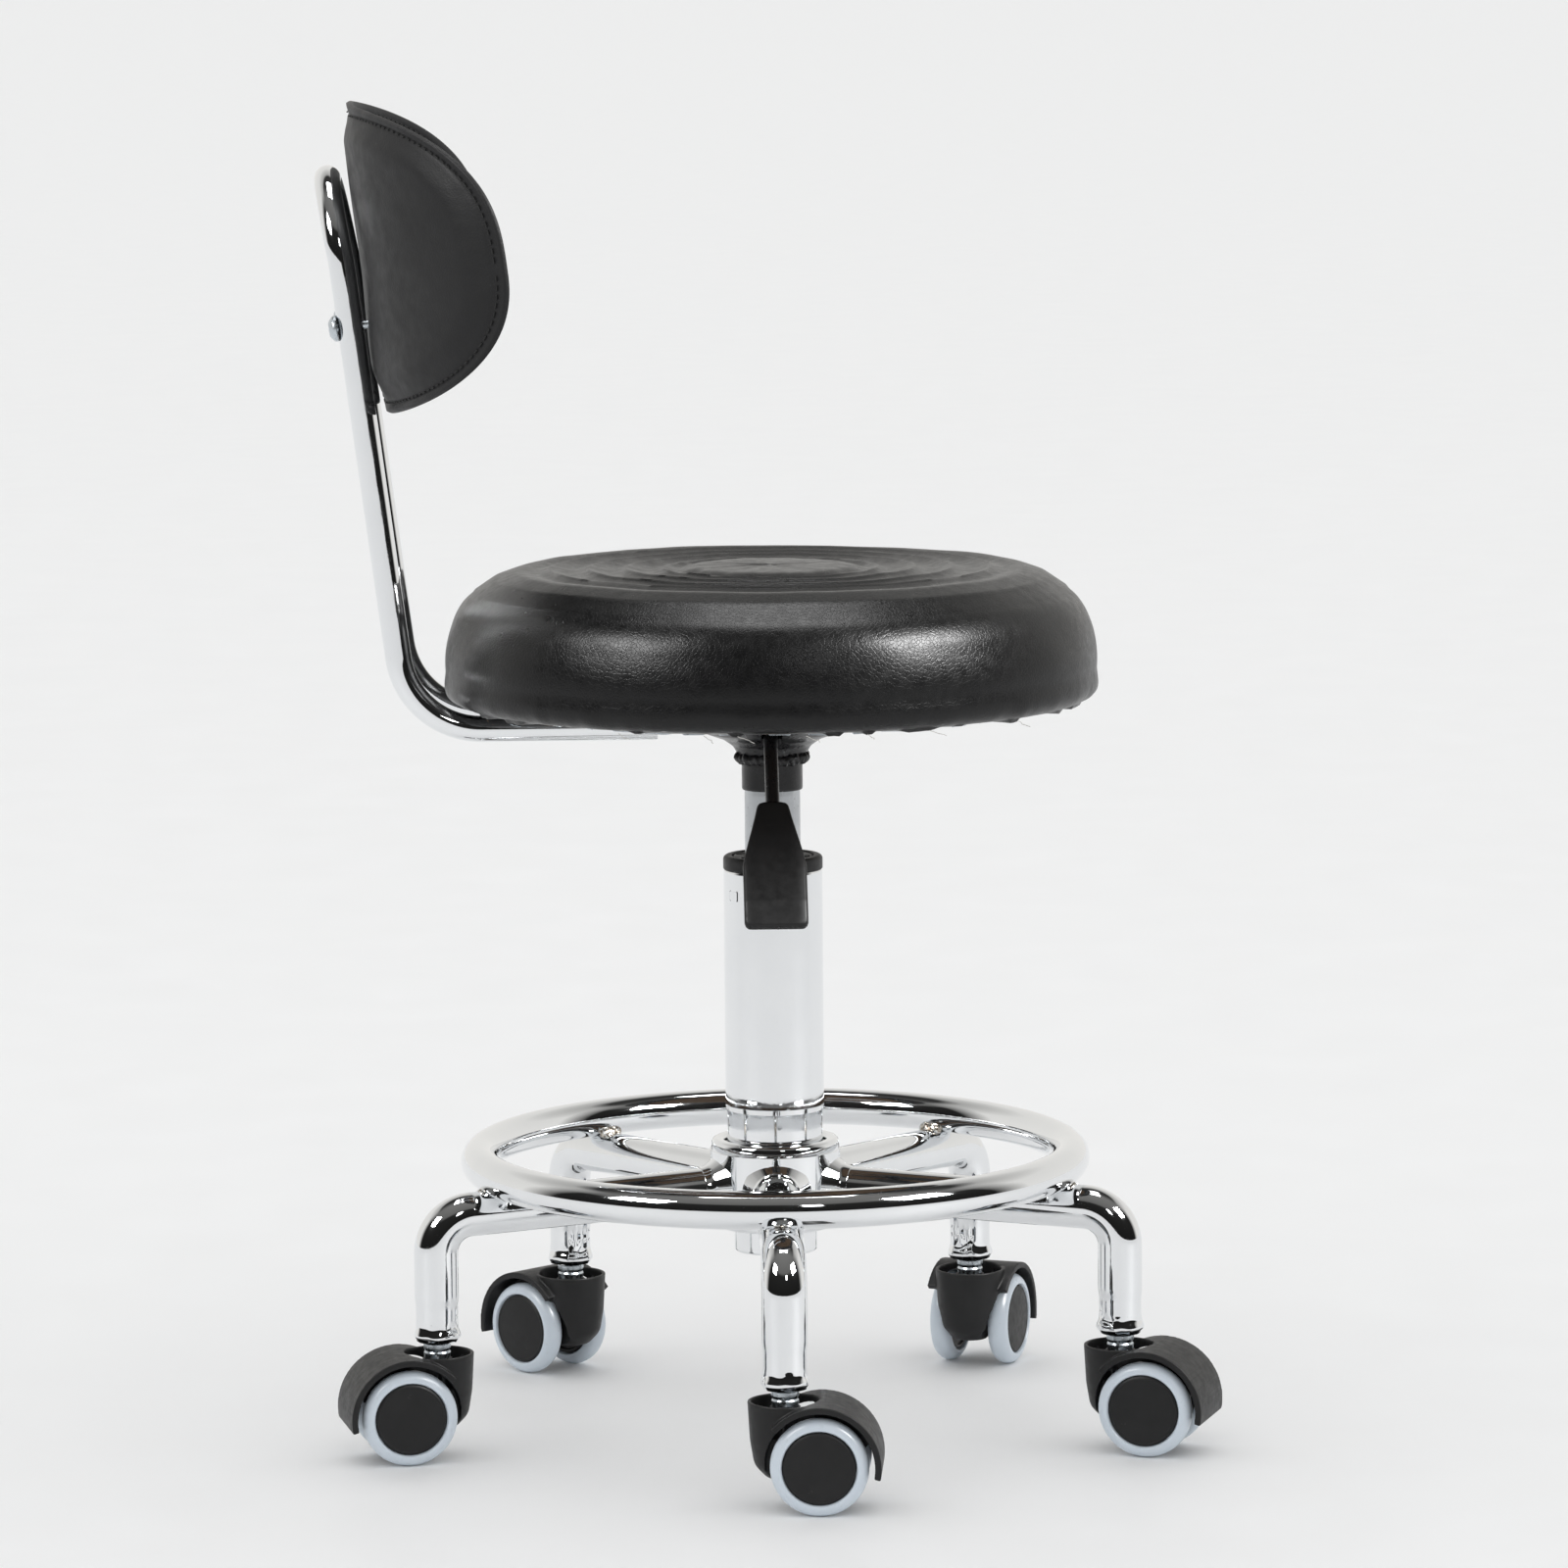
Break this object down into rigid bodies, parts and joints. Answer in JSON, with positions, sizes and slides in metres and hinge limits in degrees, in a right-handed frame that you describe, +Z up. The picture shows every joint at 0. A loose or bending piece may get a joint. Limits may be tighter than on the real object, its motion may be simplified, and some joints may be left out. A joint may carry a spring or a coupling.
{
  "type": "swivel stool",
  "caption": "Height-adjustable round swivel stool with a curved back pad on a bent tube frame, a foot ring and a wheeled star base.",
  "frame": {"origin": "on the floor under the axis of the gas column, which is within 3 mm of the middle of the footprint", "axes": "+X is the way the sitter faces, so the back rest is at -X; +Z is up along the gas column; -Y is the sitter's right, where the height lever is"},
  "size_m": [0.4485, 0.4033, 0.6735],
  "materials": {
    "chrome": "polished chrome plate",
    "satin_steel": "satin drawn steel",
    "zinc": "bright zinc plate",
    "black_paint": "gloss black enamel",
    "black_plastic": "moulded nylon with a fine grain",
    "black_rubber": "matte rubber",
    "grey_tyre": "smooth pale grey polyurethane",
    "plywood": "dark stained plywood",
    "seat_leather": "glossy smooth synthetic leather",
    "back_leather": "matte grained synthetic leather"
  },
  "bodies": {
    "base": {"base_hub": "chrome", "leg_1": "chrome", "leg_2": "chrome", "leg_3": "chrome", "leg_4": "chrome", "leg_5": "chrome", "foot_ring": "chrome", "outer_column": "chrome", "guide_bush": "black_plastic", "thrust_bearing": "satin_steel", "caster_1_stem": "zinc", "caster_2_stem": "zinc", "caster_3_stem": "zinc", "caster_4_stem": "zinc", "caster_5_stem": "zinc"},
    "rod": {"piston_rod": "satin_steel", "retaining_clip": "zinc", "bump_stop": "black_rubber"},
    "seat": {"gas_cylinder": "satin_steel", "socket_sleeve": "black_paint", "seat_plate": "black_paint", "seat_board": "plywood", "seat_cushion": "seat_leather", "back_frame": "chrome", "back_pad": "back_leather", "back_screw_left": "zinc", "back_screw_right": "zinc"},
    "lever": {"lever_rod": "black_paint", "lever_paddle": "black_plastic"},
    "button": {"release_button": "zinc"},
    "caster_1": {"caster_1_hood": "black_plastic", "caster_1_axle": "zinc"},
    "wheel_1_left": {"caster_1_hub_left": "black_plastic", "caster_1_tyre_left": "grey_tyre"},
    "wheel_1_right": {"caster_1_hub_right": "black_plastic", "caster_1_tyre_right": "grey_tyre"},
    "caster_2": {"caster_2_hood": "black_plastic", "caster_2_axle": "zinc"},
    "wheel_2_left": {"caster_2_hub_left": "black_plastic", "caster_2_tyre_left": "grey_tyre"},
    "wheel_2_right": {"caster_2_hub_right": "black_plastic", "caster_2_tyre_right": "grey_tyre"},
    "caster_3": {"caster_3_hood": "black_plastic", "caster_3_axle": "zinc"},
    "wheel_3_left": {"caster_3_hub_left": "black_plastic", "caster_3_tyre_left": "grey_tyre"},
    "wheel_3_right": {"caster_3_hub_right": "black_plastic", "caster_3_tyre_right": "grey_tyre"},
    "caster_4": {"caster_4_hood": "black_plastic", "caster_4_axle": "zinc"},
    "wheel_4_left": {"caster_4_hub_left": "black_plastic", "caster_4_tyre_left": "grey_tyre"},
    "wheel_4_right": {"caster_4_hub_right": "black_plastic", "caster_4_tyre_right": "grey_tyre"},
    "caster_5": {"caster_5_hood": "black_plastic", "caster_5_axle": "zinc"},
    "wheel_5_left": {"caster_5_hub_left": "black_plastic", "caster_5_tyre_left": "grey_tyre"},
    "wheel_5_right": {"caster_5_hub_right": "black_plastic", "caster_5_tyre_right": "grey_tyre"}
  },
  "joints": [
    {"name": "seat_swivel", "type": "hinge", "parent": "base", "child": "rod", "pos_m": [0, 0, 0.104], "axis": [0, 0, 1], "continuous": true},
    {"name": "seat_height", "type": "slide", "parent": "rod", "child": "seat", "axis": [0, 0, 1], "range_m": [0, 0.12]},
    {"name": "lever_lift", "type": "hinge", "parent": "seat", "child": "lever", "pos_m": [0, -0.024, 0.3604], "axis": [-1, 0, 0], "range_deg": [0, 9], "stiffness_Nm_per_rad": 0.8, "springref_deg": -8.59},
    {"name": "button_press", "type": "slide", "parent": "seat", "child": "button", "axis": [0, 0, -1], "range_m": [0, 0.004], "stiffness_N_per_m": 300, "springref_m": -0.001},
    {"name": "caster_1_swivel", "type": "hinge", "parent": "base", "child": "caster_1", "pos_m": [0.00377, -0.17976, 0.04], "axis": [0, 0, 1], "continuous": true},
    {"name": "wheel_1_left_spin", "type": "hinge", "parent": "caster_1", "child": "wheel_1_left", "pos_m": [0.02094, -0.18066, 0.024], "axis": [0.0523, 0.9986, 0], "continuous": true},
    {"name": "wheel_1_right_spin", "type": "hinge", "parent": "caster_1", "child": "wheel_1_right", "pos_m": [0.02094, -0.18066, 0.024], "axis": [0.0523, 0.9986, 0], "continuous": true},
    {"name": "caster_2_swivel", "type": "hinge", "parent": "base", "child": "caster_2", "pos_m": [0.17213, -0.05197, 0.04], "axis": [0, 0, 1], "continuous": true},
    {"name": "wheel_2_left_spin", "type": "hinge", "parent": "caster_2", "child": "wheel_2_left", "pos_m": [0.18848, -0.05728, 0.024], "axis": [0.309, 0.9511, 0], "continuous": true},
    {"name": "wheel_2_right_spin", "type": "hinge", "parent": "caster_2", "child": "wheel_2_right", "pos_m": [0.18848, -0.05728, 0.024], "axis": [0.309, 0.9511, 0], "continuous": true},
    {"name": "caster_3_swivel", "type": "hinge", "parent": "base", "child": "caster_3", "pos_m": [0.10261, 0.14764, 0.04], "axis": [0, 0, 1], "continuous": true},
    {"name": "wheel_3_left_spin", "type": "hinge", "parent": "caster_3", "child": "wheel_3_left", "pos_m": [0.1085, 0.16381, 0.024], "axis": [-0.9397, 0.342, 0], "continuous": true},
    {"name": "wheel_3_right_spin", "type": "hinge", "parent": "caster_3", "child": "wheel_3_right", "pos_m": [0.1085, 0.16381, 0.024], "axis": [-0.9397, 0.342, 0], "continuous": true},
    {"name": "caster_4_swivel", "type": "hinge", "parent": "base", "child": "caster_4", "pos_m": [-0.10871, 0.14322, 0.04], "axis": [0, 0, 1], "continuous": true},
    {"name": "wheel_4_left_spin", "type": "hinge", "parent": "caster_4", "child": "wheel_4_left", "pos_m": [-0.12087, 0.15538, 0.024], "axis": [-0.7071, -0.7071, 0], "continuous": true},
    {"name": "wheel_4_right_spin", "type": "hinge", "parent": "caster_4", "child": "wheel_4_right", "pos_m": [-0.12087, 0.15538, 0.024], "axis": [-0.7071, -0.7071, 0], "continuous": true},
    {"name": "caster_5_swivel", "type": "hinge", "parent": "base", "child": "caster_5", "pos_m": [-0.1698, -0.05913, 0.04], "axis": [0, 0, 1], "continuous": true},
    {"name": "wheel_5_left_spin", "type": "hinge", "parent": "caster_5", "child": "wheel_5_left", "pos_m": [-0.18656, -0.063, 0.024], "axis": [0.225, -0.9744, 0], "continuous": true},
    {"name": "wheel_5_right_spin", "type": "hinge", "parent": "caster_5", "child": "wheel_5_right", "pos_m": [-0.18656, -0.063, 0.024], "axis": [0.225, -0.9744, 0], "continuous": true}
  ],
  "couplings": [
    {"joint": "button_press", "follows": "lever_lift", "m_per_rad": 0.024}
  ]
}
